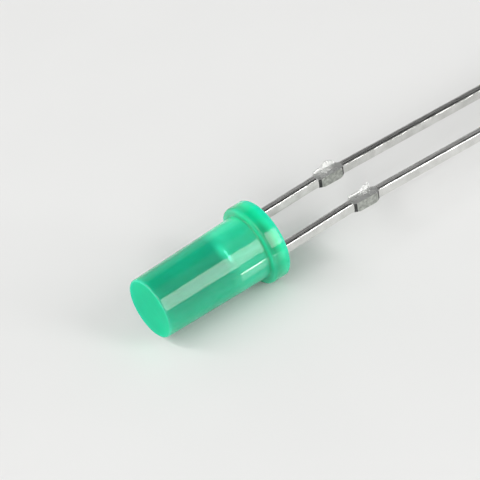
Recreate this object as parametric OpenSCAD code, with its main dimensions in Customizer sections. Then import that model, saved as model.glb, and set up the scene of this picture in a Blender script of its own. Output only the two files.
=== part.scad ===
// Through hole LED with a flat-ended diffused lens, lying at rest on its flange and its lead ends.
// The lens axis runs along X. The origin is the middle of the flange's rear face, which seats on a
// board: the lens points along -X, the leads run along +X, and the cathode is on the +Y side.

/* [Lens] */
// Length of the lens from the flange's rear face to its flat end
lens_len = 6.4; // [5.5:0.1:9]
// Diameter of the barrel at its flat end
tip_d = 2.9; // [2.7:0.05:3.05]
// Diameter of the barrel where it meets the flange
base_d = 3.1; // [3.0:0.05:3.3]
// Diameter of the flange
flange_d = 3.8; // [3.6:0.05:4.4]
// Thickness of the flange
flange_thick = 0.9; // [0.8:0.05:1.2]
// Depth of the flat on the flange that marks the cathode
flat_depth = 0.2; // [0.1:0.02:0.28]
// Radius of the edge around the flat end
tip_edge_r = 0.08; // [0.04:0.02:0.3]
// Radius of the flange's two edges
flange_edge_r = 0.15; // [0.05:0.01:0.2]
// Radius of the small cove between the barrel and the flange
cove_r = 0.08; // [0.03:0.01:0.12]

/* [Leads] */
// Distance between the middles of the two leads
lead_pitch = 2.54; // [2.4:0.02:2.7]
// Width of a lead, across the plane of the two leads
lead_w = 0.4; // [0.35:0.01:0.45]
// Thickness of the metal sheet
lead_t = 0.5; // [0.4:0.01:0.55]
// Length of the anode lead from the flange's rear face
anode_len = 28.5; // [20:0.5:36]
// How much shorter the cathode lead is
cathode_short = 1.5; // [1:0.1:2.5]

/* [Tie bar] */
// Distance from the flange's rear face to the middle of the sheared tie bar
tie_pos = 4.6; // [3:0.1:6]
// Length of the sheared face on each stub
tie_len = 1.15; // [0.8:0.05:1.6]
// How far each stub stands out of the lead
tie_out = 0.12; // [0.05:0.01:0.2]
// Length of the slope at each end of a stub
tie_slope = 0.16; // [0.06:0.01:0.3]

/* [Bend] */
// Distance from the bend in each lead to the near end of its stubs
bend_gap = 0.2; // [0.1:0.05:0.6]
// Radius of the bend, at the middle of the lead
bend_r = 2; // [1:0.1:3]

/* [Frame inside the lens] */
// Thickness of epoxy that covers the outer edges of the two legs
cover = 0.08; // [0.05:0.01:0.12]
// Distance that each leg steps inwards over, in the flange
step_len = 0.35; // [0.25:0.05:0.5]
// Height of the anode post's end above the flange's front face
post_height = 1.55; // [1.4:0.05:2]
// Length of the post's wide head
head_len = 0.6; // [0.4:0.05:0.7]
// Gap between the cup and the post's head
head_gap = 0.2; // [0.15:0.01:0.24]
// Distance from the flange's rear face to the rear edge of the anvil
anvil_rear = 0.75; // [0.6:0.05:0.8]

/* [Cup] */
// Outside diameter of the cup at its rim
cup_d = 1.04; // [0.9:0.02:1.08]
// Outside diameter of the cup where it grows out of the anvil
cup_root_d = 0.84; // [0.7:0.02:0.88]
// Length of the cup
cup_len = 0.6; // [0.5:0.02:0.7]
// Length over which the anvil swells out to the cup
swell_len = 0.18; // [0.1:0.02:0.24]
// Diameter that this swell starts from, inside the sheet
swell_d = 0.44; // [0.3:0.02:0.46]
// Thickness of the cup's rim
rim_w = 0.1; // [0.06:0.01:0.14]
// Depth of the cup
cup_depth = 0.36; // [0.3:0.02:0.44]
// Diameter of the cup's floor
floor_d = 0.46; // [0.42:0.02:0.52]
// How far the cup's rim lies behind the end of the anode post
rim_drop = 0.12; // [0.05:0.01:0.3]

/* [Chip and wire] */
// Side of the square chip
chip_side = 0.28; // [0.2:0.01:0.29]
// Height of the chip
chip_tall = 0.2; // [0.12:0.01:0.24]
// Thickness of the adhesive under the chip
glue_tall = 0.02; // [0.015:0.005:0.04]
// Gap between the adhesive's edge and the wall of the cup
glue_gap = 0.02; // [0.01:0.005:0.03]
// Diameter of the bond wire
wire_d = 0.03; // [0.025:0.005:0.05]
// Diameter of the ball and of the stitch at the wire's ends
ball_d = 0.08; // [0.06:0.01:0.12]
// Height of the ball and of the stitch
ball_tall = 0.03; // [0.02:0.005:0.05]
// Height of the wire's loop above the post's end
loop_tall = 0.3; // [0.22:0.01:0.5]
// Radius of the wire's two bends
wire_bend_r = 0.15; // [0.1:0.01:0.18]

/* [Hidden] */
$fn = 96;

// Sides of the part that the two leads are on, along Y
anode_side = -1;
cathode_side = 1;

// Lens. Heights are measured from the flange's rear face towards the flat end.
tip_r = tip_d / 2;
base_r = base_d / 2;
flange_r = flange_d / 2;
barrel_len = lens_len - flange_thick;
draft = atan((base_r - tip_r) / barrel_len);
tip_arc_up = lens_len - tip_edge_r;
tip_arc_r = tip_r + tip_edge_r * tan(draft) - tip_edge_r / cos(draft);

// The leads' lie: each drops from its bend until its end reaches the floor under the flange.
cathode_len = anode_len - cathode_short;
bend_pos = tie_pos - tie_len / 2 - tie_slope - bend_gap;
function lay_angle(length) =
    let (reach = length - bend_pos, half = lead_t / 2)
    asin(flange_r / sqrt(reach * reach + half * half)) - atan(half / reach);

bend_steps = 8;
lead_in = lead_pitch / 2 - lead_w / 2;
lead_out = lead_pitch / 2 + lead_w / 2;

// Frame inside the lens
post_up = flange_thick + post_height;
post_barrel_r = base_r - post_height * tan(draft);
leg_out = sqrt(pow(post_barrel_r, 2) - pow(lead_t / 2, 2)) - cover;
leg_in = leg_out - lead_w;
head_up = post_up - head_len;
rim_up = post_up - rim_drop;
cup_root_up = rim_up - cup_len;
floor_up = rim_up - cup_depth;
head_in = cup_d / 2 + head_gap;
anvil_edge = cup_root_d / 2;
shoulder_up = cup_root_up - (leg_in - anvil_edge);

// Chip and wire
chip_up = floor_up + glue_tall;
chip_top_up = chip_up + chip_tall;
wire_post_y = (head_in + leg_out) / 2;
loop_up = post_up + loop_tall;

// Lays a shape that stands on the XY plane along the lens axis, its height towards the flat end.
module along_lens() {
    rotate([0, -90, 0]) children();
}

// Half section of the barrel, its flat end's edge rounded
module barrel_section() {
    polygon([
        [0, 0],
        [base_r, 0],
        [base_r, flange_thick],
        [tip_arc_r + tip_edge_r * cos(draft), tip_arc_up + tip_edge_r * sin(draft)],
        [tip_arc_r, tip_arc_up],
        [tip_arc_r, lens_len],
        [0, lens_len],
    ]);
    translate([tip_arc_r, tip_arc_up]) circle(r = tip_edge_r);
}

// Half section of the flange, both edges rounded
module flange_section() {
    square([flange_r - flange_edge_r, flange_thick]);
    translate([0, flange_edge_r]) square([flange_r, flange_thick - 2 * flange_edge_r]);
    for (up = [flange_edge_r, flange_thick - flange_edge_r])
        translate([flange_r - flange_edge_r, up]) circle(r = flange_edge_r);
}

// Half section of the cove that blends the barrel into the flange
module cove_section() {
    difference() {
        translate([base_r - cove_r, flange_thick - cove_r]) square(2 * cove_r);
        translate([base_r + cove_r, flange_thick + cove_r]) circle(r = cove_r);
    }
}

// Outside of the lens, with the cathode's flat
module lens_outside() {
    difference() {
        along_lens() rotate_extrude() {
            barrel_section();
            flange_section();
            cove_section();
        }
        translate([-flange_thick / 2, cathode_side * (2 * flange_r - flat_depth), 0])
            cube([flange_thick + 2 * cove_r, 2 * flange_r, 2 * flange_d], center = true);
    }
}

// Side view of a lead: straight through the lens and the flange, then bent down to the floor
module side_view(length) {
    angle = lay_angle(length);
    half = lead_t / 2;
    start = bend_pos - bend_r * tan(angle / 2);
    tip = [bend_pos, 0] + (length - bend_pos) * [cos(angle), -sin(angle)];
    bend = [for (i = [0 : bend_steps]) angle * i / bend_steps];
    function on_bend(r, a) = [start + r * sin(a), r * cos(a) - bend_r];
    polygon(concat(
        [[-post_up, half]],
        [for (a = bend) on_bend(bend_r + half, a)],
        [tip + half * [sin(angle), cos(angle)], tip - half * [sin(angle), cos(angle)]],
        [for (i = [bend_steps : -1 : 0]) on_bend(bend_r - half, bend[i])],
        [[-post_up, -half]]
    ));
}

// Plan of a lead outside the lens, out along its inner edge and back along its outer edge, with
// the stub of the sheared tie bar on each
function free_edges() =
    let (
        face = tie_len / 2,
        foot = face + tie_slope,
        edge = [
            [tie_pos - foot, 0], [tie_pos - face, tie_out],
            [tie_pos + face, tie_out], [tie_pos + foot, 0], [anode_len, 0],
        ],
        last = len(edge) - 1
    )
    concat(
        [for (p = edge) [p.x, lead_in - p.y]],
        [for (i = [last : -1 : 0]) [edge[i].x, lead_out + edge[i].y]]
    );

// A whole lead on one side, stamped from sheet metal. Its frame inside the lens is given as an
// outline on the +Y side, from the end of the step at its outer edge to that at its inner edge.
module lead(side, length, frame) {
    plan = concat(
        [[-step_len / 2, lead_out], [-step_len * 3 / 2, leg_out]],
        frame,
        [[-step_len * 3 / 2, leg_in], [-step_len / 2, lead_in]],
        free_edges()
    );
    mirror([0, side == anode_side ? 1 : 0, 0]) intersection() {
        linear_extrude(height = 4 * flange_d, center = true) polygon(plan);
        rotate([90, 0, 0]) linear_extrude(height = 2 * flange_d, center = true) side_view(length);
    }
}

module anode_lead() {
    color("silver") lead(anode_side, anode_len, [
        [-post_up, leg_out],
        [-post_up, head_in],
        [-head_up, head_in],
        [-head_up + (leg_in - head_in), leg_in],
    ]);
}

// Conical cup at the end of the anvil
module cup() {
    rim_in_d = cup_d - 2 * rim_w;
    along_lens() translate([0, 0, cup_root_up - swell_len])
        cylinder(h = swell_len, d1 = swell_d, d2 = cup_root_d);
    along_lens() difference() {
        translate([0, 0, cup_root_up]) cylinder(h = cup_len, d1 = cup_root_d, d2 = cup_d);
        translate([0, 0, floor_up])
            cylinder(h = 2 * cup_depth, d1 = floor_d, d2 = 2 * rim_in_d - floor_d);
    }
}

module cathode_lead() {
    color("silver") {
        lead(cathode_side, cathode_len, [
            [-shoulder_up, leg_out],
            [-cup_root_up, anvil_edge],
            [-cup_root_up, -anvil_edge],
            [-anvil_rear, -anvil_edge],
            [-anvil_rear, leg_in],
        ]);
        cup();
    }
}

module led_chip() {
    color("goldenrod") along_lens() translate([0, 0, chip_up + chip_tall / 2])
        cube([chip_side, chip_side, chip_tall], center = true);
}

module chip_adhesive() {
    color("gainsboro") along_lens() translate([0, 0, floor_up])
        cylinder(h = glue_tall, d = floor_d - 2 * glue_gap);
}

// One end of the bond wire: its ball or stitch, the straight rise, and the quarter bend at its top
module wire_end(foot_up) {
    translate([0, 0, foot_up]) cylinder(h = ball_tall, d = ball_d);
    translate([0, 0, foot_up])
        cylinder(h = loop_up - wire_bend_r - foot_up, d = wire_d);
    translate([0, -wire_bend_r, loop_up - wire_bend_r]) rotate([0, 90, 0]) rotate([0, 0, 90])
        rotate_extrude(angle = 90) translate([wire_bend_r, 0]) circle(d = wire_d);
}

module bond_wire() {
    color("gold") along_lens() {
        wire_end(chip_top_up);
        translate([0, -wire_post_y, 0]) mirror([0, 1, 0]) wire_end(post_up);
        translate([0, -wire_bend_r, loop_up]) rotate([90, 0, 0])
            cylinder(h = wire_post_y - 2 * wire_bend_r, d = wire_d);
    }
}

module lens() {
    color("mediumseagreen", 0.8) difference() {
        lens_outside();
        anode_lead();
        cathode_lead();
        led_chip();
        chip_adhesive();
        bond_wire();
    }
}

lens();
anode_lead();
cathode_lead();
led_chip();
chip_adhesive();
bond_wire();
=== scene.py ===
"""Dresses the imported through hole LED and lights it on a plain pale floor."""

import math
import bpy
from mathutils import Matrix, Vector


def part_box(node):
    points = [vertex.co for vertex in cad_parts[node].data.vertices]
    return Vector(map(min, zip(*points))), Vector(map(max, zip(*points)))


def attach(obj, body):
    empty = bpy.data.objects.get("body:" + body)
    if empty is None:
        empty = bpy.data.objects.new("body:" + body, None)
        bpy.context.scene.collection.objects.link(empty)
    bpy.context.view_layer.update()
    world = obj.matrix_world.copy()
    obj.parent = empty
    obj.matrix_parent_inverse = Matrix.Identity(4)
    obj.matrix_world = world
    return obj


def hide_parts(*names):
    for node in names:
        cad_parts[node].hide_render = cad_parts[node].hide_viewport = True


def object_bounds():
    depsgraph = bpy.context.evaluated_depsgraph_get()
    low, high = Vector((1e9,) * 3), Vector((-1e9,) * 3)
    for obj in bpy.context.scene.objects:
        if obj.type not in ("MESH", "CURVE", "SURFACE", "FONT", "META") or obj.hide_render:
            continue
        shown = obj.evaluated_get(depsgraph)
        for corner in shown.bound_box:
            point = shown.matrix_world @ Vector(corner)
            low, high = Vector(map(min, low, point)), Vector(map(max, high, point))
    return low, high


bl_info = {
    "name": "Through hole LED",
    "version": (1, 0, 0),
    "blender": (4, 5, 0),
    "location": "View3D > Sidebar > LED",
    "description": "Models and finishes a small flat-ended diffused LED with tinned leads",
    "category": "Object",
}

import bmesh
import bpy
from bpy.props import FloatProperty, FloatVectorProperty, PointerProperty
from mathutils import Matrix, Vector

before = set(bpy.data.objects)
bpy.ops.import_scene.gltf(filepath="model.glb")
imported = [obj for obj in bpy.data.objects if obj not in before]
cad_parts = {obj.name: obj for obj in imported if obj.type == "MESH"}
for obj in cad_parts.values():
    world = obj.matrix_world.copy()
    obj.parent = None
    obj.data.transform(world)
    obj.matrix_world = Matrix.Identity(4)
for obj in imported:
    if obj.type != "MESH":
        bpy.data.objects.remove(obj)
CAD_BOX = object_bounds()

MM = 0.001
# Points and faces that are nearer to each other than this count as being at one place
TINY = 0.002 * MM
LENS_LOW, LENS_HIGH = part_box("lens")
ANODE_LOW, ANODE_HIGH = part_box("anode_lead")
CATHODE_LOW, CATHODE_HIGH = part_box("cathode_lead")

# Heights of the torn lips along the stubs, in millimetres
ANODE_LIP = (
    0.19, 0.15, 0.12, 0.13, 0.11, 0.12, 0.11, 0.12, 0.13, 0.15, 0.20, 0.24, 0.20, 0.26, 0.20,
)
CATHODE_LIP = (
    0.10, 0.12, 0.13, 0.13, 0.14, 0.16, 0.20, 0.25, 0.29, 0.31, 0.28, 0.24, 0.18, 0.13, 0.08,
)

# The lips' thickness, the part of it by which their inner edge hangs over, how far they lean in,
# how this varies from column to column, in radians, and how far under the lead's top they start
LIP_WIDE = 0.13 * MM
LIP_OVERHANG = 0.7
LIP_LEAN = 0.004 * MM
LIP_WAVE = 1.7
LIP_SUNK = 0.02 * MM

# A face looks along an axis when this much of its normal lies along it
ALONG = 0.9
# Edges that turn by more than this are rolled, and edges that turn by less are shaded smooth
SHARP_ANGLE, SMOOTH_ANGLE = math.radians(30), math.radians(28)

# Zones of the epoxy's colour and of the light and shade painted into it: millimetres from the
# seating face, and the setting with the colour
EPOXY_LIGHT_ZONES = (
    (0.0, "rim_painted_light"), (0.3, "rim_painted_light"), (0.66, "flange_painted_shade"), (0.84, "flange_painted_shade"),
    (1.0, "frame_painted_light"), (2.3, "frame_painted_light"), (2.9, "epoxy"), (6.31, "epoxy"),
    (6.37, "tip_edge_painted_light"), (6.4, "tip_edge_painted_light"),
)
# Heights over the lens axis between which these colours come in, the share of them that is left
# below, and how light the epoxy's own colour is there, darkened as painted shade
ZONES_LOW, ZONES_HIGH = -0.5 * MM, 1.0 * MM
ZONES_LEFT = 0.3
LOW_PAINTED_SHADE_TONE = 0.85
# Heights between which the top of the flange takes the rim's painted light, and how much of it
CROWN_LOW, CROWN_HIGH = 1.5 * MM, 1.85 * MM
CROWN_SHARE = 0.4
# Radius within which the painted glow over the cup has its full colour
PATCH_CORE = 0.05 * MM
# Distances from the seating face between which the barrel's clearness gives way to the flange's
CLEAR_FROM, CLEAR_TO = 1.0 * MM, 0.85 * MM
# How much the epoxy refracts, and how far light scatters in its milky skin
EPOXY_IOR = 1.53
SCATTER = 1.2 * MM

# The sky: sine of the height over the horizon, and brightness there
SKY = ((0.0, 0.6), (0.3, 0.57), (0.62, 0.44), (0.8, 0.38), (1.0, 0.38))
# The dark card in it: the way to its middle, the angles round it at which the card starts to
# fade and is gone, and its brightness
CARD_WAY = (0.387, 0.36, 0.85)
CARD_CORE, CARD_EDGE = math.radians(15), math.radians(27)
CARD_TONE = 0.01


# Settings


def length(name, description, default):
    """A length setting in metres."""
    return FloatProperty(
        name=name, description=description, default=default, min=0, unit="LENGTH", precision=5
    )


def colour(name, description, default):
    """A colour setting."""
    return FloatVectorProperty(
        name=name, description=description, default=default, size=3, min=0, max=1, subtype="COLOR"
    )


class LensSettings(bpy.types.PropertyGroup):
    """Sizes and colours of the cast epoxy lens, and the light and shade painted into its colour."""

    lens_len: length("Length", "From the flange's rear face to the flat end", -LENS_LOW.x)
    tip_d: length("Tip diameter", "Diameter of the barrel at its flat end", 2.9 * MM)
    base_d: length("Base diameter", "Diameter of the barrel at the flange", 3.1 * MM)
    flange_d: length("Flange diameter", "Diameter of the flange", LENS_HIGH.z - LENS_LOW.z)
    flange_thick: length("Flange thickness", "Thickness of the flange", 0.9 * MM)
    flat_y: length("Cathode flat", "Distance of the flange's flat from the axis", LENS_HIGH.y)
    tip_edge_r: length("Tip edge radius", "Radius of the edge around the flat end", 0.08 * MM)
    flange_edge_r: length("Flange edge", "Radius of the flange's two edges", 0.15 * MM)
    cove_r: length("Cove", "Radius of the cove between barrel and flange", 0.08 * MM)
    flat_edge_r: length("Flat edge", "Radius of the edges around the cathode flat", 0.03 * MM)
    clearness: FloatProperty(
        name="Clearness", description="Share of the light that passes the milky skin",
        default=0.6, min=0, max=1, subtype="FACTOR",
    )
    flange_clearness: FloatProperty(
        name="Flange clearness", description="The same share in the thick flange",
        default=0.3, min=0, max=1, subtype="FACTOR",
    )
    edge_clearness: FloatProperty(
        name="Edge clearness", description="The same share where the skin is seen edge on",
        default=0.05, min=0, max=1, subtype="FACTOR",
    )
    absorption: FloatProperty(
        name="Absorption", description="Light that the clear epoxy takes off, per metre",
        default=1500.0, min=0,
    )
    # Painted light: a glowing patch on the skin over the cup, and the clearness lost there
    glow_place: FloatVectorProperty(
        name="Cup's glow", description="Middle of the patch of skin that the cup lights",
        default=(-2.63 * MM, -0.75 * MM, 1.28 * MM), subtype="TRANSLATION", unit="LENGTH",
        precision=5,
    )
    glow_reach: length("Reach of the glow", "How far this patch reaches round the barrel", 0.8 * MM)
    glow_narrow: FloatProperty(
        name="Narrowness", description="How much shorter the patch is along the lens",
        default=1.9, min=1,
    )
    glow_haze: FloatProperty(
        name="Haze", description="Share of the clearness that is lost in the patch",
        default=0.28, min=0, max=1, subtype="FACTOR",
    )
    depths: colour("Depths", "Colour that the clear epoxy leaves", (0.3, 0.70, 0.62))
    clouds: FloatProperty(
        name="Clouds", description="How much the epoxy's colour varies with its milkiness",
        default=0.1, min=0, max=1, subtype="FACTOR",
    )
    epoxy: colour("Epoxy", "Colour of the diffused epoxy", (0.009, 0.525, 0.29))
    # Painted light over the cup, where it would throw light back through the skin
    cup_painted_light: colour("Over the cup", "Colour where the cup throws light back", (0.040, 0.95, 0.56))
    # Painted light over the frame, where it would throw light back through the skin
    frame_painted_light: colour(
        "Over the frame", "Colour where the frame throws light back", (0.050, 0.86, 0.50)
    )
    # Painted shade: the dark band at the front of the flange
    flange_painted_shade: colour(
        "Front of the flange", "Colour where the flange is deep", (0.002, 0.39, 0.18)
    )
    # Painted light gathered in the flange's rim, also painted on the flange's top
    rim_painted_light: colour(
        "Rear of the flange", "Colour where light gathers in the rim", (0.014, 1.0, 0.50)
    )
    # Painted highlight along the edge of the flat end
    tip_edge_painted_light: colour(
        "Tip edge", "Colour where light gathers around the flat end", (0.03, 0.68, 0.39)
    )
    flat_end: colour("Flat end", "Colour of the epoxy at the flat end", (0.007, 0.53, 0.275))


class LeadSettings(bpy.types.PropertyGroup):
    """Sizes and colours of the two stamped leads."""

    pitch: length("Pitch", "Distance between the middles of the leads", 2.54 * MM)
    width: length("Width", "Width of a lead in the plane of the two", 0.4 * MM)
    thick: length("Thickness", "Thickness of the sheet", 0.5 * MM)
    edge_r: length("Edge", "Reach of the rolled edges", 0.13 * MM)
    edge_fullness: FloatProperty(
        name="Edge fullness", description="Profile of the rolled edges: 0.5 is round",
        default=0.66, min=0, max=1,
    )
    anode_len: length("Anode length", "From the flange to the end of the longer lead", 28.5 * MM)
    cathode_len: length("Cathode length", "The same for the shorter lead", 27.0 * MM)
    bend_x: length("Bend", "Distance from the flange to the bend", 3.665 * MM)
    bend_r: length("Bend radius", "Radius of the bend at the lead's middle", 2.0 * MM)
    tie_x: length("Tie bar", "Distance from the flange to the sheared tie bar", 4.6 * MM)
    tie_len: length("Tie bar length", "Length of the sheared faces", 1.15 * MM)
    tie_out: length("Stub", "How far each stub stands out of the lead", 0.12 * MM)
    tie_slope: length("Stub slope", "Length of the slope at each end of a stub", 0.16 * MM)
    step_len: length("Step", "Length over which each leg steps inwards", 0.35 * MM)
    leg_y: length("Leg", "Distance of a leg's middle from the lens axis", 1.2211 * MM)
    post_end: length("Post end", "Distance from the seating face to the post's end", 2.45 * MM)
    head_len: length("Head", "Length of the post's wide head", 0.6 * MM)
    head_in: length("Head edge", "Distance of the head's inner edge from the axis", 0.72 * MM)
    anvil_rear: length("Anvil", "Distance from the seating face to the anvil", 0.75 * MM)
    shoulder: length("Shoulder", "Distance from the seating face to the shoulder", 1.1289 * MM)
    twist: FloatProperty(
        name="Twist", description="Turn of the cathode lead behind its stubs",
        default=math.radians(4.5), subtype="ANGLE",
    )
    tin: colour("Tin", "Colour of the tin plating", (0.84, 0.84, 0.82))
    worn_tin: colour("Dull tin", "Colour of the duller streaks in the plating", (0.66, 0.66, 0.64))
    sheared: colour("Sheared metal", "Colour of the bare sheared faces", (0.58, 0.60, 0.56))
    # Near-black colour given to the stubs' slopes
    near_black_slope: colour(
        "Near-black slope metal", "Colour of the slopes beside the sheared faces", (0.10, 0.10, 0.10)
    )
    pressed: colour(
        "Pressed tin", "Colour of the stubs' upper faces under the tool", (0.70, 0.71, 0.69)
    )
    torn: colour("Torn tin", "Colour of the torn lips", (0.97, 0.97, 0.96))
    silver: colour("Silver", "Colour of the silver plating inside the lens", (0.82, 0.82, 0.80))


class CupSettings(bpy.types.PropertyGroup):
    """Sizes of the reflector cup, and colours of what lies in it."""

    root: length("Root", "Distance from the seating face to the cup's root", 1.73 * MM)
    tall: length("Length", "Length of the cup", 0.6 * MM)
    rim_r: length("Rim", "Outside radius of the rim", 0.52 * MM)
    root_r: length("Root radius", "Outside radius of the root", 0.42 * MM)
    rim_w: length("Rim width", "Thickness of the rim", 0.1 * MM)
    depth: length("Depth", "Depth of the cup", 0.36 * MM)
    floor_r: length("Floor", "Radius of the cup's floor", 0.23 * MM)
    swell_len: length("Swell", "Length over which the anvil swells out to the cup", 0.18 * MM)
    swell_r: length("Swell radius", "Radius that the swell starts from", 0.22 * MM)
    coin_len: length("Coined edge", "Length of the sloping edge coined round the rim", 0.09 * MM)
    coin_in: length("Coining", "How far the coined edge draws the rim in", 0.05 * MM)
    chip: colour("Chip", "Colour of the semiconductor chip", (0.55, 0.40, 0.12))
    adhesive: colour("Adhesive", "Colour of the silver-filled adhesive", (0.70, 0.70, 0.68))
    gold: colour("Gold", "Colour of the bond wire", (0.95, 0.72, 0.30))


class StageSettings(bpy.types.PropertyGroup):
    """Colour of the floor, and place and lens of the camera."""

    floor: colour("Floor", "Colour of the floor", (0.80, 0.80, 0.79))
    azimuth: FloatProperty(
        name="Azimuth", description="Way that the camera looks, from +Y towards -X",
        default=math.radians(-30), subtype="ANGLE",
    )
    elevation: FloatProperty(
        name="Elevation", description="Height of the camera over the floor, as an angle",
        default=math.radians(39.2), subtype="ANGLE",
    )
    roll: FloatProperty(
        name="Roll", description="Turn of the picture, anticlockwise",
        default=math.radians(12.1), subtype="ANGLE",
    )
    lens_mm: FloatProperty(
        name="Focal length", description="Focal length of the camera in millimetres",
        default=400.0, min=1.0, unit="CAMERA",
    )
    picture_w: length("Picture width", "Width that the picture covers at the part", 21.05 * MM)
    right_of: FloatProperty(
        name="Right", description="How far the flange lies right of the picture's middle",
        default=1.071 * MM, unit="LENGTH", precision=5,
    )
    above: FloatProperty(
        name="Above", description="How far the flange lies above the picture's middle",
        default=0.132 * MM, unit="LENGTH", precision=5,
    )


# Modelling


def add_piece(primitive, name, **where):
    """Adds a primitive with nothing else selected, puts its place in its mesh and opens it."""
    bpy.ops.object.select_all(action="DESELECT")
    primitive(**where)
    piece = bpy.context.object
    piece.name = piece.data.name = name
    bpy.ops.object.transform_apply(location=True, rotation=True, scale=True)
    bpy.ops.object.mode_set(mode="EDIT")
    return piece


def pick(kind, test):
    """In edit mode, selects the vertices, edges or faces that pass a test, and nothing else."""
    bpy.ops.mesh.select_mode(type=kind)
    bpy.ops.mesh.select_all(action="DESELECT")
    mesh = bmesh.from_edit_mesh(bpy.context.edit_object.data)
    items = {"VERT": mesh.verts, "EDGE": mesh.edges, "FACE": mesh.faces}[kind]
    found = [item for item in items if test(item)]
    if not found:
        piece = bpy.context.edit_object.name
        raise RuntimeError(f"{piece}: no {kind.lower()} is where it should be")
    for item in found:
        item.select_set(True)
    mesh.select_flush_mode()
    bmesh.update_edit_mesh(bpy.context.edit_object.data)


def on_ring(x, radius):
    """A test for edges of the circle round the X axis at x with this radius."""

    def test(edge):
        return all(
            abs(v.co.x - x) < TINY and abs(math.hypot(v.co.y, v.co.z) - radius) < 2 * TINY
            for v in edge.verts
        )

    return test


def extrude(x=0.0, y=0.0, z=0.0):
    """Extrudes the selected faces by this much."""
    bpy.ops.mesh.extrude_region_move(TRANSFORM_OT_translate={"value": (x, y, z)})


def resize(factors, centre):
    """Scales the selected points about a centre."""
    bpy.ops.transform.resize(value=factors, center_override=centre)


def roll_edges(s, y):
    """Rounds a lead's sharp edges as the stamping tool rolls them, save where it was sheared."""
    sheared = s.width / 2 + s.tie_out - TINY
    pick(
        "EDGE",
        lambda e: e.calc_face_angle(0) > SHARP_ANGLE
        and not all(v.co.x > 0 and abs(v.co.y - y) > sheared for v in e.verts),
    )
    bpy.ops.mesh.bevel(offset=s.edge_r, segments=6, profile=s.edge_fullness, affect="EDGES")


def weigh_normals(piece):
    """Keeps flat faces flat. It is done a thousand times larger, where the areas are not tiny."""
    for factor in (1000, 0.001):
        bpy.ops.object.mode_set(mode="EDIT")
        bpy.ops.mesh.select_all(action="SELECT")
        resize((factor, factor, factor), (0, 0, 0))
        bpy.ops.object.mode_set(mode="OBJECT")
        if factor > 1:
            bpy.ops.object.modifier_add(type="WEIGHTED_NORMAL")
            weighted = piece.modifiers[-1]
            weighted.keep_sharp = True
            bpy.ops.object.modifier_apply(modifier=weighted.name)


def finish_mesh(piece, node):
    """Closes the mesh, shades it with flat faces kept flat, and ties the piece to the frame."""
    if bpy.context.mode == "EDIT_MESH":
        bpy.ops.object.mode_set(mode="OBJECT")
    bpy.ops.object.select_all(action="DESELECT")
    piece.select_set(True)
    bpy.context.view_layer.objects.active = piece
    bpy.ops.object.mode_set(mode="EDIT")
    bpy.ops.mesh.select_all(action="SELECT")
    bpy.ops.mesh.remove_doubles(threshold=TINY / 4)
    bpy.ops.mesh.normals_make_consistent(inside=False)
    bpy.ops.object.mode_set(mode="OBJECT")
    bpy.ops.object.shade_smooth_by_angle(angle=SMOOTH_ANGLE)
    weigh_normals(piece)
    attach(piece, "root")
    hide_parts(node)


def paint(piece, material, test):
    """Gives the faces of a piece that pass a test a material of their own."""
    piece.data.materials.append(material)
    bpy.ops.object.mode_set(mode="EDIT")
    pick("FACE", test)
    piece.active_material_index = len(piece.data.materials) - 1
    bpy.ops.object.material_slot_assign()
    bpy.ops.object.mode_set(mode="OBJECT")


def unite(piece, other):
    """Adds another closed mesh to a piece."""
    bpy.ops.object.select_all(action="DESELECT")
    bpy.context.view_layer.objects.active = piece
    piece.select_set(True)
    bpy.ops.object.modifier_add(type="BOOLEAN")
    union = piece.modifiers[-1]
    union.operation, union.object, union.solver = "UNION", other, "EXACT"
    bpy.ops.object.modifier_apply(modifier=union.name)
    bpy.data.objects.remove(other)


# Materials


def set_inputs(node, inputs):
    """Sets a node's inputs by name. An underscore in a name may stand for a space."""
    for name, value in inputs.items():
        node.inputs[name.replace("_", " ")].default_value = value


def put(tree, kind, x, y, **inputs):
    """Adds a node at a place in the tree and sets its inputs."""
    node = tree.nodes.new(kind)
    node.location = (x, y)
    set_inputs(node, inputs)
    return node


def put_mix(tree, x, y, blend="MIX"):
    """Adds a node that mixes two colours."""
    node = put(tree, "ShaderNodeMix", x, y)
    node.data_type, node.blend_type = "RGBA", blend
    return node


def put_math(tree, x, y, operation, kind="ShaderNodeMath"):
    """Adds a node that does one sum, on numbers or, if its kind says so, on vectors."""
    node = put(tree, kind, x, y)
    node.operation = operation
    return node


def new_group(name, inputs, outputs):
    """A shader node group with its sockets. Each input is (name, socket type, default)."""
    group = bpy.data.node_groups.new(name, "ShaderNodeTree")
    for socket, kind, default in inputs:
        made = group.interface.new_socket(name=socket, in_out="INPUT", socket_type=kind)
        if default is not None:
            made.default_value = default
    for socket, kind in outputs:
        group.interface.new_socket(name=socket, in_out="OUTPUT", socket_type=kind)
    start = group.nodes.new("NodeGroupInput")
    end = group.nodes.new("NodeGroupOutput")
    start.location, end.location = (-800, 0), (600, 0)
    return group, start, end


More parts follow.
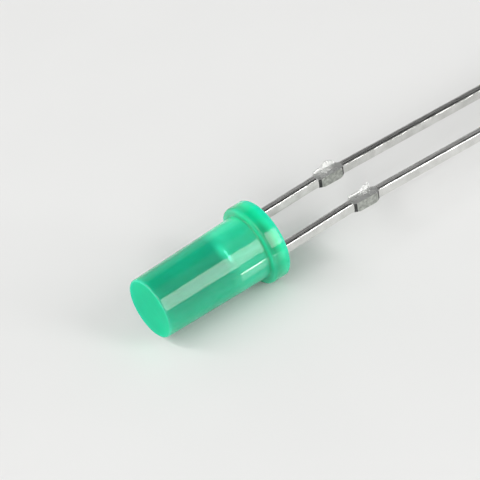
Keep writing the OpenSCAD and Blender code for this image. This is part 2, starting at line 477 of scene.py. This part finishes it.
def blotch_group():
    """Soft uneven patches: mixes two colours and two roughnesses by a noise of a given size."""
    if "Blotches" in bpy.data.node_groups:
        return bpy.data.node_groups["Blotches"]
    group, start, end = new_group(
        "Blotches",
        [
            ("Vector", "NodeSocketVector", None),
            ("Scale", "NodeSocketFloat", 1000.0),
            ("Colour 1", "NodeSocketColor", (0.5, 0.5, 0.5, 1)),
            ("Colour 2", "NodeSocketColor", (0.6, 0.6, 0.6, 1)),
            ("Roughness 1", "NodeSocketFloat", 0.2),
            ("Roughness 2", "NodeSocketFloat", 0.3),
        ],
        [("Colour", "NodeSocketColor"), ("Roughness", "NodeSocketFloat")],
    )
    noise = put(group, "ShaderNodeTexNoise", -560, 60, Detail=3.0, Roughness=0.55)
    spread = put(group, "ShaderNodeMapRange", -340, 60, From_Min=0.32, From_Max=0.68)
    tint = put_mix(group, 120, 120)
    rough = put(group, "ShaderNodeMapRange", 120, -120)
    link = group.links.new
    link(start.outputs["Vector"], noise.inputs["Vector"])
    link(start.outputs["Scale"], noise.inputs["Scale"])
    link(noise.outputs["Fac"], spread.inputs["Value"])
    link(spread.outputs["Result"], tint.inputs["Factor"])
    link(start.outputs["Colour 1"], tint.inputs["A"])
    link(start.outputs["Colour 2"], tint.inputs["B"])
    link(spread.outputs["Result"], rough.inputs["Value"])
    link(start.outputs["Roughness 1"], rough.inputs["To Min"])
    link(start.outputs["Roughness 2"], rough.inputs["To Max"])
    link(tint.outputs["Result"], end.inputs["Colour"])
    link(rough.outputs["Result"], end.inputs["Roughness"])
    return group


def grain_group():
    """Fine lines left by a tool: a noise drawn out along one way, as a height."""
    if "Tool grain" in bpy.data.node_groups:
        return bpy.data.node_groups["Tool grain"]
    group, start, end = new_group(
        "Tool grain",
        [
            ("Vector", "NodeSocketVector", None),
            ("Fineness", "NodeSocketVector", (1000.0, 20000.0, 20000.0)),
        ],
        [("Height", "NodeSocketFloat")],
    )
    stretch = put_math(group, -580, 0, "MULTIPLY", "ShaderNodeVectorMath")
    noise = put(group, "ShaderNodeTexNoise", -380, 0, Scale=1.0, Detail=4.0, Roughness=0.6)
    level = put(group, "ShaderNodeMapRange", -160, 0, From_Min=0.3, From_Max=0.7)
    link = group.links.new
    link(start.outputs["Vector"], stretch.inputs[0])
    link(start.outputs["Fineness"], stretch.inputs[1])
    link(stretch.outputs["Vector"], noise.inputs["Vector"])
    link(noise.outputs["Fac"], level.inputs["Value"])
    link(level.outputs["Result"], end.inputs["Height"])
    return group


def place_group(tree, group, x, y, **inputs):
    """Puts a node group in a tree, names the node after it and sets its inputs."""
    node = put(tree, "ShaderNodeGroup", x, y)
    node.node_tree, node.name = group, group.name
    set_inputs(node, inputs)
    return node


def shade(name, colours, roughness, patch, grain=None, grain_depth=0.0, metallic=0.0):
    """The material of this name, made once: two colours and two roughnesses in soft patches, and
    lines left by a tool. Patch and grain say how many patches and lines a metre has."""
    if name in bpy.data.materials:
        return bpy.data.materials[name]
    material = bpy.data.materials.new(name)
    material.use_nodes = True
    tree = material.node_tree
    surface = tree.nodes["Principled BSDF"]
    place = put(tree, "ShaderNodeTexCoord", -1100, 0)
    blotch = place_group(
        tree, blotch_group(), -500, 120, Scale=patch,
        Colour_1=(*colours[0], 1), Colour_2=(*colours[1], 1),
        Roughness_1=roughness[0], Roughness_2=roughness[1],
    )
    link = tree.links.new
    link(place.outputs["Object"], blotch.inputs["Vector"])
    link(blotch.outputs["Colour"], surface.inputs["Base Color"])
    link(blotch.outputs["Roughness"], surface.inputs["Roughness"])
    surface.inputs["Metallic"].default_value = metallic
    if grain:
        lines = place_group(tree, grain_group(), -500, -240, Fineness=grain)
        bump = put(tree, "ShaderNodeBump", -240, -240, Strength=1.0, Distance=grain_depth)
        link(place.outputs["Object"], lines.inputs["Vector"])
        link(lines.outputs["Height"], bump.inputs["Height"])
        link(bump.outputs["Normal"], surface.inputs["Normal"])
    return material


def put_ramp(tree, x, y, stops):
    """Adds a colour ramp with its stops, each (place, colour)."""
    node = put(tree, "ShaderNodeValToRGB", x, y)
    ramp = node.color_ramp
    for end, (place, _) in zip(ramp.elements, (stops[0], stops[-1])):
        end.position = place
    for place, _ in stops[1:-1]:
        ramp.elements.new(place)
    for element, (_, tone) in zip(ramp.elements, stops):
        element.color = (*tone, 1)
    return node


def cup_patch(tree, settings):
    """How near the skin is to the middle of the painted glow over the cup: 1 there, 0 outside."""
    shape = Vector((settings.glow_narrow, 1, 1))
    narrow = put_math(tree, -900, 860, "MULTIPLY", "ShaderNodeVectorMath")
    narrow.inputs[1].default_value = shape
    reach = put_math(tree, -700, 860, "DISTANCE", "ShaderNodeVectorMath")
    reach.inputs[1].default_value = shape * Vector(settings.glow_place)
    patch = put(
        tree, "ShaderNodeMapRange", -500, 860, From_Min=PATCH_CORE, From_Max=settings.glow_reach,
        To_Min=1.0, To_Max=0.0,
    )
    patch.interpolation_type = "SMOOTHSTEP"
    link = tree.links.new
    link(tree.nodes["Texture Coordinate"].outputs["Object"], narrow.inputs[0])
    link(narrow.outputs["Vector"], reach.inputs[0])
    link(reach.outputs["Value"], patch.inputs["Value"])
    return patch.outputs["Result"]


def epoxy_colour_with_painted_light(tree, settings, patch):
    """The epoxy's colour along the lens with painted light and shade: painted light over the cup
    and the frame, in the flange's rim and at the edge of the flat end, less so low down, where
    painted shade darkens the epoxy, painted shade at the flange's front, and most painted light on
    its top."""
    place, blotch = tree.nodes["Texture Coordinate"], tree.nodes["Blotches"]
    stops = [
        (from_seat * MM / settings.lens_len, getattr(settings, tone))
        for from_seat, tone in EPOXY_LIGHT_ZONES
    ]
    split = put(tree, "ShaderNodeSeparateXYZ", -900, 420)
    along = put(tree, "ShaderNodeMapRange", -700, 560, From_Min=0.0, From_Max=-settings.lens_len)
    glow = put_ramp(tree, -500, 560, stops)
    height = put(
        tree, "ShaderNodeMapRange", -700, 320, From_Min=ZONES_LOW, From_Max=ZONES_HIGH,
        To_Min=ZONES_LEFT,
    )
    crown = put(
        tree, "ShaderNodeMapRange", -700, 80, From_Min=CROWN_LOW, From_Max=CROWN_HIGH,
        To_Max=CROWN_SHARE,
    )
    height.interpolation_type = crown.interpolation_type = "SMOOTHSTEP"
    tint = put_mix(tree, -330, 500)
    crowned = put_mix(tree, -240, 420)
    halo = put_mix(tree, -150, 340)
    clouded = put_mix(tree, -60, 240, "MULTIPLY")
    # Painted shade: the epoxy's own colour darker low down
    tint.inputs["A"].default_value = (*[LOW_PAINTED_SHADE_TONE * c for c in settings.epoxy], 1)
    # Painted light on top of the flange
    crowned.inputs["B"].default_value = (*settings.rim_painted_light, 1)
    halo.inputs["B"].default_value = (*settings.cup_painted_light, 1)
    clouded.inputs["Factor"].default_value = 1.0
    link = tree.links.new
    link(place.outputs["Object"], split.inputs["Vector"])
    link(split.outputs["X"], along.inputs["Value"])
    link(split.outputs["Z"], height.inputs["Value"])
    link(split.outputs["Z"], crown.inputs["Value"])
    link(along.outputs["Result"], glow.inputs["Fac"])
    link(height.outputs["Result"], tint.inputs["Factor"])
    link(glow.outputs["Color"], tint.inputs["B"])
    link(crown.outputs["Result"], crowned.inputs["Factor"])
    link(tint.outputs["Result"], crowned.inputs["A"])
    link(patch, halo.inputs["Factor"])
    link(crowned.outputs["Result"], halo.inputs["A"])
    link(halo.outputs["Result"], clouded.inputs["A"])
    link(blotch.outputs["Colour"], clouded.inputs["B"])
    return clouded.outputs["Result"]


def clearness(tree, settings, patch=None):
    """The share of clear epoxy face on: less in the flange, and less in the painted glow over the
    cup.
    """
    split = put(tree, "ShaderNodeSeparateXYZ", -340, 1060)
    thick = put(
        tree, "ShaderNodeMapRange", -140, 1060, From_Min=-CLEAR_FROM, From_Max=-CLEAR_TO,
        To_Min=settings.clearness, To_Max=settings.flange_clearness,
    )
    link = tree.links.new
    link(tree.nodes["Texture Coordinate"].outputs["Object"], split.inputs["Vector"])
    link(split.outputs["X"], thick.inputs["Value"])
    if not patch:
        return thick.outputs["Result"]
    haze = put(tree, "ShaderNodeMapRange", -140, 860, To_Min=1.0, To_Max=1 - settings.glow_haze)
    hazed = put_math(tree, 60, 960, "MULTIPLY")
    link(patch, haze.inputs["Value"])
    link(thick.outputs["Result"], hazed.inputs[0])
    link(haze.outputs["Result"], hazed.inputs[1])
    return hazed.outputs["Value"]


def epoxy_material(settings, name, end_tone=None, gloss=0.5):
    """Milky green epoxy: a scattering skin that lets light through, most where it is seen face
    on, with green depths behind it. The flat end has one tone all over, its end tone."""
    tone = end_tone or (1, 1, 1)
    cloudy = [(1 - settings.clouds) * c for c in tone]
    material = shade(
        name, (tone, cloudy), roughness=(0.06, 0.10), patch=900.0, grain=(350.0, 350.0, 350.0),
        grain_depth=0.02 * MM,
    )
    tree = material.node_tree
    surface = tree.nodes["Principled BSDF"]
    link = tree.links.new
    patch = None
    if not end_tone:
        patch = cup_patch(tree, settings)
        link(epoxy_colour_with_painted_light(tree, settings, patch), surface.inputs["Base Color"])
    set_inputs(surface, {
        "IOR": EPOXY_IOR,
        "Specular IOR Level": gloss,
        "Subsurface Weight": 1.0,
        "Subsurface Radius": (1.0, 1.0, 1.0),
        "Subsurface Scale": SCATTER,
    })
    facing = put(tree, "ShaderNodeLayerWeight", -140, 680, Blend=0.5)
    clear = put(tree, "ShaderNodeMapRange", 60, 420, From_Max=0.5, To_Max=settings.edge_clearness)
    side = put(tree, "ShaderNodeNewGeometry", 60, 680)
    share = put_math(tree, 300, 420, "MAXIMUM")
    inner = put(tree, "ShaderNodeBsdfGlass", 300, -60, Roughness=0.02, IOR=EPOXY_IOR)
    skin = put(tree, "ShaderNodeMixShader", 560, 100)
    depth = put(tree, "ShaderNodeVolumeAbsorption", 300, -300, Density=settings.absorption)
    depth.inputs["Color"].default_value = (*settings.depths, 1)
    output = tree.nodes["Material Output"]
    output.location = (800, 0)
    link(clearness(tree, settings, patch), clear.inputs["To Min"])
    link(facing.outputs["Facing"], clear.inputs["Value"])
    link(clear.outputs["Result"], share.inputs[0])
    link(side.outputs["Backfacing"], share.inputs[1])
    link(share.outputs["Value"], skin.inputs["Fac"])
    link(surface.outputs["BSDF"], skin.inputs[1])
    link(inner.outputs["BSDF"], skin.inputs[2])
    link(skin.outputs["Shader"], output.inputs["Surface"])
    link(depth.outputs["Volume"], output.inputs["Volume"])
    return material


def tin_material(settings):
    """Bright tin plating with fine lines along the lead."""
    return shade(
        "Tin plating", (settings.tin, settings.worn_tin), roughness=(0.14, 0.24), patch=1500.0,
        grain=(500.0, 16000.0, 16000.0), grain_depth=0.004 * MM, metallic=1.0,
    )


def silver_material(settings):
    """Silver plating of the frame inside the lens."""
    return shade(
        "Silver plating", (settings.silver, [0.9 * c for c in settings.silver]),
        roughness=(0.12, 0.18), patch=2500.0, grain=(600.0, 9000.0, 9000.0),
        grain_depth=0.003 * MM, metallic=1.0,
    )


def worked_material(name, tone, unevenness, roughness):
    """Metal worked by the shear, with coarse lines down the cut faces."""
    return shade(
        name, (tone, [(1 - unevenness) * c for c in tone]), roughness, patch=7000.0,
        grain=(9000.0, 3000.0, 1200.0), grain_depth=0.02 * MM, metallic=1.0,
    )


# Operators


class LED_OT_lens(bpy.types.Operator):
    """Models the cast epoxy lens with its flange and cathode flat"""

    bl_idname = "led.lens"
    bl_label = "Diffused lens"

    def execute(self, context):
        s = context.scene.led_lens
        flange_r, base_r, tip_r = s.flange_d / 2, s.base_d / 2, s.tip_d / 2
        lens = add_piece(
            bpy.ops.mesh.primitive_cylinder_add, "diffused_lens", vertices=192, radius=flange_r,
            depth=s.flange_thick, location=(-s.flange_thick / 2, 0, 0),
            rotation=(0, math.radians(90), 0),
        )
        pick("FACE", lambda f: f.normal.x < -ALONG)
        bpy.ops.mesh.inset(thickness=flange_r - base_r)
        extrude(x=s.flange_thick - s.lens_len)
        resize((1, tip_r / base_r, tip_r / base_r), (-s.lens_len, 0, 0))
        pick("EDGE", on_ring(-s.lens_len, tip_r))
        bpy.ops.mesh.bevel(offset=s.tip_edge_r, segments=4, affect="EDGES")
        pick("EDGE", on_ring(-s.flange_thick, base_r))
        bpy.ops.mesh.bevel(offset=s.cove_r, segments=4, affect="EDGES")
        for x in (0.0, -s.flange_thick):
            pick("EDGE", on_ring(x, flange_r))
            bpy.ops.mesh.bevel(offset=s.flange_edge_r, segments=6, affect="EDGES")
        bpy.ops.mesh.select_all(action="SELECT")
        low = s.flat_y - s.flat_edge_r / 2
        bpy.ops.mesh.bisect(
            plane_co=(0, low, 0), plane_no=(0, 1, 0), use_fill=True, clear_outer=True,
            threshold=TINY / 20,
        )
        pick("FACE", lambda f: f.normal.y > 0.999 and f.calc_center_median().y > low - TINY)
        bpy.ops.mesh.inset(thickness=s.flat_edge_r, depth=s.flat_edge_r / 2)
        finish_mesh(lens, "lens")
        lens.data.materials.append(epoxy_material(s, "Diffused epoxy", gloss=0.4))
        flat_end = epoxy_material(s, "Diffused epoxy, flat end", s.flat_end, gloss=0.02)
        paint(lens, flat_end, lambda f: f.calc_center_median().x < -s.lens_len + TINY)
        return {"FINISHED"}


def lie_angle(s, tip, floor_z):
    """The angle by which a lead drops after its bend, so that its end lies on the floor."""
    reach, half = math.hypot(tip.x - s.bend_x, floor_z), s.thick / 2
    return math.asin(-floor_z / reach) - math.asin(half / reach)


def draw_lead(s, name, y, droop, lead_len, twist):
    """Draws a lead from the flange to its end: bend, stubs, a slight twist behind them, and the
    straight rest."""
    start = s.bend_x - s.bend_r * math.tan(droop / 2)
    lead = add_piece(
        bpy.ops.mesh.primitive_cube_add, name, size=1, location=(start / 2, y, 0),
        scale=(start, s.width, s.thick),
    )
    pick("FACE", lambda f: f.normal.x > ALONG)
    bpy.ops.mesh.spin(
        steps=8, angle=-droop, center=(start, y, -s.bend_r), axis=(0, 1, 0), use_auto_merge=False
    )
    along = Vector((math.cos(droop), 0, -math.sin(droop)))
    here = Vector((s.bend_x, y, 0)) + along * (s.bend_x - start)
    stub_start = s.tie_x - s.tie_len / 2 - s.tie_slope
    wide = 1 + 2 * s.tie_out / s.width
    for x, factor, turn in (
        (stub_start, 1, 0),
        (stub_start + s.tie_slope, wide, 0),
        (stub_start + s.tie_slope + s.tie_len, 1, 0),
        (stub_start + 2 * s.tie_slope + s.tie_len, 1 / wide, 0),
        (stub_start + 4 * s.tie_slope + s.tie_len, 1, twist),
        (s.bend_x + (lead_len - s.bend_x) * math.cos(droop), 1, 0),
    ):
        there = Vector((x, y, -math.tan(droop) * (x - s.bend_x)))
        extrude(*(there - here))
        resize((1, factor, 1), there)
        bpy.ops.transform.rotate(value=-turn, orient_axis="X", center_override=there)
        here = there
    return lead


def draw_sections(sections):
    """Draws the selected end face on through sections of (x, middle, width)."""
    for (x, y, width), (next_x, next_y, next_width) in zip(sections, sections[1:]):
        extrude(x=next_x - x, y=next_y - y)
        resize((1, next_width / width, 1), (next_x, next_y, 0))


def draw_leg(s, side, end_x):
    """Draws a leg from the flange's rear face into the lens, up to end_x."""
    pick("FACE", lambda f: f.normal.x < -ALONG)
    draw_sections([
        (0, side * s.pitch / 2, s.width),
        (-s.step_len / 2, side * s.pitch / 2, s.width),
        (-s.step_len * 3 / 2, side * s.leg_y, s.width),
        (end_x, side * s.leg_y, s.width),
    ])


def raise_burr(s, lead, y, droop, heights):
    """Raises the torn lip on the far side's stub, one height in millimetres for each column."""
    outer = y + s.width / 2 + s.tie_out
    middle = outer - LIP_WIDE / 2
    low, top = -s.thick / 4, s.thick / 2 - LIP_SUNK
    lip = add_piece(
        bpy.ops.mesh.primitive_cube_add, "torn_lip", size=1,
        location=(s.tie_x, middle, (top + low) / 2), scale=(s.tie_len, LIP_WIDE, top - low),
    )
    pick("EDGE", lambda e: abs(e.verts[0].co.x - e.verts[1].co.x) > TINY)
    bpy.ops.mesh.subdivide(number_cuts=len(heights) - 2)
    for column, tall in enumerate(heights):
        x = s.tie_x - s.tie_len / 2 + s.tie_len * column / (len(heights) - 1)
        pick("VERT", lambda v: abs(v.co.x - x) < TINY and v.co.z > 0)
        lean = -LIP_LEAN * (1 + math.sin(LIP_WAVE * column))
        bpy.ops.transform.translate(value=(0, lean, tall * MM))
        pick("VERT", lambda v: abs(v.co.x - x) < TINY and v.co.z > 0 and v.co.y < middle)
        bpy.ops.transform.translate(value=(0, LIP_WIDE * LIP_OVERHANG, 0))
    bpy.ops.mesh.select_all(action="SELECT")
    drop = math.tan(droop) * (s.tie_x - s.bend_x)
    bpy.ops.transform.translate(value=(0, 0, -drop))
    bpy.ops.object.mode_set(mode="OBJECT")
    unite(lead, lip)


def finish_lead(s, lead, node, y, droop):
    """Finishes a lead: tin outside the lens, silver inside, bare metal where it was sheared."""
    finish_mesh(lead, node)
    lead.data.materials.append(tin_material(s))
    paint(lead, silver_material(s), lambda f: f.calc_center_median().x < -TINY)
    edge = s.width / 2 + s.tie_out / 4
    stub_end = s.tie_len / 2 + s.tie_slope
    cut, sloping, lying = 0.95, 0.5, 0.8

    def on_stub(face, facing):
        """Whether a face of the stubs looks away from the lead by this much of its normal."""
        out = face.calc_center_median().y - y
        return abs(out) > edge and math.copysign(face.normal.y, out * face.normal.y) > facing

    def over_stub(face, rise):
        """Whether a face of the stubs lies this far over the lead's own top."""
        middle = face.calc_center_median()
        top = s.thick / 2 - math.tan(droop) * (middle.x - s.bend_x)
        return abs(middle.x - s.tie_x) < stub_end and middle.z > top + rise

    for name, tone, unevenness, roughness, test in (
        (
            "Sheared metal", s.sheared, 0.45, (0.35, 0.5),
            lambda f: on_stub(f, cut)
            or f.normal.x > cut and f.calc_center_median().x > s.tie_x + s.tie_len,
        ),
        # The slopes beside the sheared faces are coloured near black
        (
            "Near-black slope metal", s.near_black_slope, 0.45, (0.35, 0.5),
            lambda f: on_stub(f, sloping) and not on_stub(f, cut) and abs(f.normal.x) > 0.4,
        ),
        (
            "Pressed tin", s.pressed, 0.1, (0.26, 0.34),
            lambda f: f.normal.z > lying and over_stub(f, -0.1 * s.thick),
        ),
        ("Torn tin", s.torn, 0.1, (0.25, 0.35), lambda f: over_stub(f, TINY * 3)),
    ):
        paint(lead, worked_material(name, tone, unevenness, roughness), test)


class LED_OT_anode_lead(bpy.types.Operator):
    """Models the longer lead, with its leg and wire post inside the lens"""

    bl_idname = "led.anode_lead"
    bl_label = "Anode lead"

    def execute(self, context):
        s = context.scene.led_leads
        y = -s.pitch / 2
        droop = lie_angle(s, ANODE_HIGH, ANODE_LOW.z)
        lead = draw_lead(s, "tinned_anode_lead", y, droop, s.anode_len, 0)
        leg_out = s.leg_y + s.width / 2
        head_y, head_width = -(leg_out + s.head_in) / 2, leg_out - s.head_in
        head_x = -s.post_end + s.head_len
        neck_x = head_x + leg_out - s.width - s.head_in
        draw_leg(s, -1, neck_x)
        draw_sections([
            (neck_x, -s.leg_y, s.width),
            (head_x, head_y, head_width),
            (-s.post_end, head_y, head_width),
        ])
        roll_edges(s, y)
        bpy.ops.object.mode_set(mode="OBJECT")
        raise_burr(s, lead, y, droop, ANODE_LIP)
        finish_lead(s, lead, "anode_lead", y, droop)
        return {"FINISHED"}


def model_cup(s):
    """Models the conical reflector cup that ends the anvil, with its coined rim."""
    body_len = s.tall - s.coin_len
    cup = add_piece(
        bpy.ops.mesh.primitive_cylinder_add, "cup", vertices=96, radius=s.root_r, depth=body_len,
        location=(-s.root - body_len / 2, 0, 0), rotation=(0, math.radians(90), 0),
    )
    rim = -s.root - s.tall
    pick("FACE", lambda f: f.normal.x > ALONG)
    extrude(x=s.swell_len)
    resize((1, s.swell_r / s.root_r, s.swell_r / s.root_r), (s.swell_len - s.root, 0, 0))
    pick("FACE", lambda f: f.normal.x < -ALONG)
    wide = s.root_r + (s.rim_r - s.root_r) * body_len / s.tall
    resize((1, wide / s.root_r, wide / s.root_r), (rim + s.coin_len, 0, 0))
    extrude(x=-s.coin_len)
    lip_r = s.rim_r - s.coin_in
    resize((1, lip_r / wide, lip_r / wide), (rim, 0, 0))
    mouth_r = s.rim_r - s.rim_w
    bpy.ops.mesh.inset(thickness=lip_r - mouth_r)
    extrude(x=s.depth)
    resize((1, s.floor_r / mouth_r, s.floor_r / mouth_r), (rim + s.depth, 0, 0))
    bpy.ops.object.mode_set(mode="OBJECT")
    return cup


class LED_OT_cathode_lead(bpy.types.Operator):
    """Models the shorter lead, with its anvil and cup inside the lens"""

    bl_idname = "led.cathode_lead"
    bl_label = "Cathode lead"

    def execute(self, context):
        s, cup_s = context.scene.led_leads, context.scene.led_cup
        y = s.pitch / 2
        droop = lie_angle(s, CATHODE_HIGH, CATHODE_LOW.z)
        lead = draw_lead(s, "tinned_cathode_lead", y, droop, s.cathode_len, s.twist)
        leg_in, leg_out = s.leg_y - s.width / 2, s.leg_y + s.width / 2
        draw_leg(s, 1, -s.anvil_rear)
        draw_sections([(-s.anvil_rear, s.leg_y, s.width), (-s.shoulder, s.leg_y, s.width)])
        pick(
            "FACE",
            lambda f: f.normal.y < -ALONG and f.calc_center_median().x < -s.anvil_rear,
        )
        extrude(y=-leg_in - cup_s.root_r)
        pick(
            "FACE",
            lambda f: f.normal.x < -ALONG and f.calc_center_median().x < -s.anvil_rear - TINY,
        )
        extrude(x=s.shoulder - cup_s.root)
        narrowing = 2 * cup_s.root_r / (leg_out + cup_s.root_r)
        resize((1, narrowing, 1), (-cup_s.root, -cup_s.root_r, 0))
        roll_edges(s, y)
        bpy.ops.object.mode_set(mode="OBJECT")
        unite(lead, model_cup(cup_s))
        raise_burr(s, lead, y, droop, CATHODE_LIP)
        finish_lead(s, lead, "cathode_lead", y, droop)
        return {"FINISHED"}


class LED_OT_chip_parts(bpy.types.Operator):
    """Finishes the chip, its adhesive and the bond wire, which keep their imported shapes"""

    bl_idname = "led.chip_parts"
    bl_label = "Chip, adhesive and wire"

    def execute(self, context):
        s = context.scene.led_cup
        pads = (s.chip, [0.6 * c for c in s.chip])
        silver = (s.adhesive, [0.8 * c for c in s.adhesive])
        gold = (s.gold, [0.9 * c for c in s.gold])
        finishes = {
            "led_chip": shade("Chip", pads, roughness=(0.2, 0.35), patch=9000.0),
            "chip_adhesive": shade(
                "Silver adhesive", silver, roughness=(0.4, 0.6), patch=20000.0,
                grain=(9000.0, 9000.0, 9000.0), grain_depth=0.004 * MM, metallic=0.8,
            ),
            "bond_wire": shade(
                "Gold wire", gold, roughness=(0.12, 0.2), patch=8000.0,
                grain=(9000.0, 9000.0, 2000.0), grain_depth=0.001 * MM, metallic=1.0,
            ),
        }
        for node, material in finishes.items():
            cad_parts[node].material_slots[0].material = material
        return {"FINISHED"}


def add_lamp(name, way, along, width, height, radiance):
    """Adds a rectangular lamp a metre off, facing the part, its width lying along a way."""
    bpy.ops.object.select_all(action="DESELECT")
    bpy.ops.object.light_add(type="AREA")
    lamp = bpy.context.object
    lamp.name = name
    outward = Vector(way).normalized()
    upright = outward.cross(Vector(along)).normalized()
    axes = Matrix((upright.cross(outward), upright, outward)).transposed()
    lamp.matrix_world = Matrix.Translation(outward) @ axes.to_4x4()
    lamp.data.shape = "RECTANGLE"
    lamp.data.size, lamp.data.size_y = width, height
    lamp.data.energy = radiance * math.pi * width * height
    lamp.visible_camera = False


class LED_OT_stage(bpy.types.Operator):
    """Lays the floor and sets up the light and the camera"""

    bl_idname = "led.stage"
    bl_label = "Floor, light and camera"

    def execute(self, context):
        s = context.scene.led_stage
        bpy.ops.object.select_all(action="DESELECT")
        bpy.ops.mesh.primitive_plane_add(size=3.0, location=(0, 0, CAD_BOX[0][2]))
        floor = bpy.context.object
        floor.name = "floor"
        bpy.ops.object.transform_apply(location=True, rotation=True, scale=True)
        material = shade(
            "Pale floor", (s.floor, [0.97 * c for c in s.floor]), roughness=(0.75, 0.85),
            patch=60.0,
        )
        surface = material.node_tree.nodes["Principled BSDF"]
        surface.inputs["Specular IOR Level"].default_value = 0.1
        floor.data.materials.append(material)
        self.light_world(context)
        self.hang_lamps()
        self.place_camera(context, s)
        context.scene.view_settings.view_transform = "Standard"
        return {"FINISHED"}

    @staticmethod
    def light_world(context):
        """A pale sky, lightest at the horizon, with a dark card high on the lead side."""
        world = bpy.data.worlds.new("Studio")
        context.scene.world = world
        world.use_nodes = True
        tree = world.node_tree
        way = put(tree, "ShaderNodeTexCoord", -900, 0)
        split = put(tree, "ShaderNodeSeparateXYZ", -700, 100)
        ramp = put_ramp(tree, -480, 100, [(height, (level,) * 3) for height, level in SKY])
        near_card = put_math(tree, -700, -200, "DOT_PRODUCT", "ShaderNodeVectorMath")
        near_card.inputs[1].default_value = Vector(CARD_WAY).normalized()
        card = put(
            tree, "ShaderNodeMapRange", -480, -200, From_Min=math.cos(CARD_EDGE),
            From_Max=math.cos(CARD_CORE),
        )
        sky = put_mix(tree, -200, 0)
        sky.inputs["B"].default_value = (CARD_TONE, CARD_TONE, CARD_TONE, 1)
        link = tree.links.new
        link(way.outputs["Generated"], split.inputs["Vector"])
        link(split.outputs["Z"], ramp.inputs["Fac"])
        link(way.outputs["Generated"], near_card.inputs[0])
        link(near_card.outputs["Value"], card.inputs["Value"])
        link(card.outputs["Result"], sky.inputs["Factor"])
        link(ramp.outputs["Color"], sky.inputs["A"])
        link(sky.outputs["Result"], tree.nodes["Background"].inputs["Color"])

    @staticmethod
    def hang_lamps():
        """A tall soft box on the near side, and two long ones, above and before the flat end."""
        add_lamp(
            "soft_box", way=(0.388, -0.806, 0.445), along=(0.90, 0.43, 0),
            width=0.275, height=0.75, radiance=5.2,
        )
        add_lamp(
            "top_light", way=(-0.57, 0.30, 0.78), along=(0, 0.93, -0.36),
            width=0.72, height=0.17, radiance=7.8,
        )
        add_lamp(
            "front_fill", way=(-0.68, -0.45, 0.58), along=(0, -0.85, -0.53),
            width=1.0, height=0.22, radiance=9.0,
        )

    @staticmethod
    def place_camera(context, s):
        """Sets the camera at its angle, so that the picture shows the wanted width."""
        forward = Vector((
            -math.sin(s.azimuth) * math.cos(s.elevation),
            math.cos(s.azimuth) * math.cos(s.elevation),
            -math.sin(s.elevation),
        ))
        right = forward.cross(Vector((0, 0, 1))).normalized()
        up = right.cross(forward)
        across = right * math.cos(s.roll) - up * math.sin(s.roll)
        upward = right * math.sin(s.roll) + up * math.cos(s.roll)
        bpy.ops.object.select_all(action="DESELECT")
        bpy.ops.object.camera_add()
        camera = bpy.context.object
        camera.data.lens, camera.data.sensor_width = s.lens_mm, 36.0
        camera.data.clip_start, camera.data.clip_end = 0.01, 10.0
        away = s.picture_w * s.lens_mm / camera.data.sensor_width
        middle = -across * s.right_of - upward * s.above
        axes = Matrix((across, upward, -forward)).transposed()
        camera.matrix_world = Matrix.Translation(middle - forward * away) @ axes.to_4x4()
        context.scene.camera = camera


class LED_PT_panel(bpy.types.Panel):
    """Lists the pieces and their settings"""

    bl_label = "Through hole LED"
    bl_space_type = "VIEW_3D"
    bl_region_type = "UI"
    bl_category = "LED"

    def draw(self, context):
        for settings in (getattr(context.scene, name) for name in SETTINGS):
            box = self.layout.box()
            for name in settings.__annotations__:
                box.prop(settings, name)
        for operator in OPERATORS:
            self.layout.operator(operator.bl_idname)


SETTINGS = {"led_lens": LensSettings, "led_leads": LeadSettings, "led_cup": CupSettings,
            "led_stage": StageSettings}
OPERATORS = (LED_OT_lens, LED_OT_anode_lead, LED_OT_cathode_lead, LED_OT_chip_parts, LED_OT_stage)
CLASSES = (*SETTINGS.values(), *OPERATORS, LED_PT_panel)


def register():
    for cls in CLASSES:
        bpy.utils.register_class(cls)
    for name, cls in SETTINGS.items():
        setattr(bpy.types.Scene, name, PointerProperty(type=cls))


def unregister():
    for name in SETTINGS:
        delattr(bpy.types.Scene, name)
    for cls in reversed(CLASSES):
        bpy.utils.unregister_class(cls)


def main():
    """Registers the classes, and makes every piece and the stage."""
    register()
    bpy.ops.led.lens()
    bpy.ops.led.anode_lead()
    bpy.ops.led.cathode_lead()
    bpy.ops.led.chip_parts()
    bpy.ops.led.stage()


if __name__ == "__main__":
    main()
